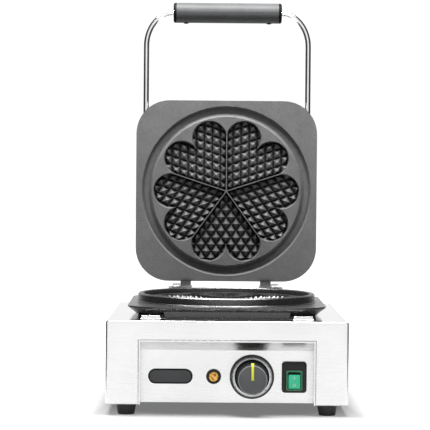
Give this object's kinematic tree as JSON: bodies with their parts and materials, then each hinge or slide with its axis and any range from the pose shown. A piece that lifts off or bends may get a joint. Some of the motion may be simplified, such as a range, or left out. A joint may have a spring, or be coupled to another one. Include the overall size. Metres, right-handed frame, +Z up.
{
  "type": "waffle maker",
  "caption": "Countertop electric waffle maker: steel housing with recessed controls, fixed lower heart waffle plate with a collar, hinged upper plate and bow handle.",
  "frame": {"origin": "on the table, under the middle of the whole machine's box", "axes": "+X to the operator's right, +Y from the control panel to the back, +Z up"},
  "size_m": [0.27, 0.3179, 0.4857],
  "materials": {
    "stainless": "satin brushed stainless sheet",
    "galvanised": "zinc-plated sheet and screws",
    "cast_iron": "fine-grained seasoned cast iron",
    "chrome": "polished chrome-plated rod",
    "hinge_steel": "machined steel",
    "element_steel": "heat-darkened tubular element",
    "black_rubber": "moulded rubber",
    "grip_plastic": "satin heat-resistant moulding",
    "knob_plastic": "satin moulding",
    "pointer_yellow": "yellow-green moulded strip",
    "bezel_metal": "printed satin dial plate",
    "switch_plastic": "black moulding",
    "boot_green": "dark green splash guard",
    "switch_green": "lit green rocker",
    "lamp_amber": "amber lens",
    "badge_grey": "blank pill-shaped plate",
    "terminal_cream": "terminal block",
    "insulation": "mineral fibre pad"
  },
  "bodies": {
    "base": {"base_housing": "stainless", "base_plate": "galvanised", "control_panel": "stainless", "rear_panel": "stainless", "foot_front_left": "black_rubber", "foot_front_right": "black_rubber", "foot_rear_left": "black_rubber", "foot_rear_right": "black_rubber", "foot_screw_front_left": "galvanised", "foot_screw_front_right": "galvanised", "foot_screw_rear_left": "galvanised", "foot_screw_rear_right": "galvanised", "rear_screw_left": "galvanised", "rear_screw_right": "galvanised", "hinge_bracket_left": "hinge_steel", "hinge_bracket_right": "hinge_steel", "hinge_pin_left": "hinge_steel", "hinge_pin_right": "hinge_steel", "lower_plate": "cast_iron", "lower_heating_element": "element_steel", "lower_element_cover": "galvanised", "insulation_pad": "insulation", "plate_leg_front_left": "cast_iron", "plate_leg_front_right": "cast_iron", "plate_leg_rear_left": "cast_iron", "plate_leg_rear_right": "cast_iron", "thermostat_body": "galvanised", "thermostat_sensor": "hinge_steel", "knob_bezel": "bezel_metal", "switch_frame": "switch_plastic", "switch_boot": "boot_green", "lamp_ring": "switch_plastic", "lamp_lens": "lamp_amber", "badge_plate": "badge_grey", "terminal_block": "terminal_cream", "cable_gland": "switch_plastic", "gland_nut": "switch_plastic", "lid_conduit": "hinge_steel"},
    "lid": {"upper_plate": "cast_iron", "lid_cover": "stainless", "upper_heating_element": "element_steel", "cover_screw_1": "galvanised", "cover_screw_2": "galvanised", "cover_screw_3": "galvanised", "cover_screw_4": "galvanised", "handle_bow": "chrome", "grip_upper_half": "grip_plastic", "grip_lower_half": "grip_plastic", "grip_screw_left": "chrome", "grip_screw_right": "chrome", "lid_hinge_lug_left": "hinge_steel", "lid_hinge_lug_right": "hinge_steel", "bow_clamp_left_lower": "hinge_steel", "bow_clamp_left_upper": "hinge_steel", "bow_clamp_right_lower": "hinge_steel", "bow_clamp_right_upper": "hinge_steel"},
    "knob": {"thermostat_shaft": "hinge_steel", "thermostat_knob": "knob_plastic", "knob_pointer": "pointer_yellow"},
    "rocker": {"switch_rocker": "switch_green"}
  },
  "joints": [
    {"name": "lid_hinge", "type": "hinge", "parent": "base", "child": "lid", "pos_m": [0, 0.127, 0.124], "axis": [1, 0, 0], "range_deg": [0, 90], "deforming": ["lid_conduit"]},
    {"name": "knob_turn", "type": "hinge", "parent": "base", "child": "knob", "pos_m": [0.0282, -0.12, 0.0413], "axis": [0, 1, 0], "range_deg": [0, 270]},
    {"name": "switch_rock", "type": "hinge", "parent": "base", "child": "rocker", "pos_m": [0.0756, -0.1233, 0.0379], "axis": [-1, 0, 0], "range_deg": [0, 14]}
  ]
}
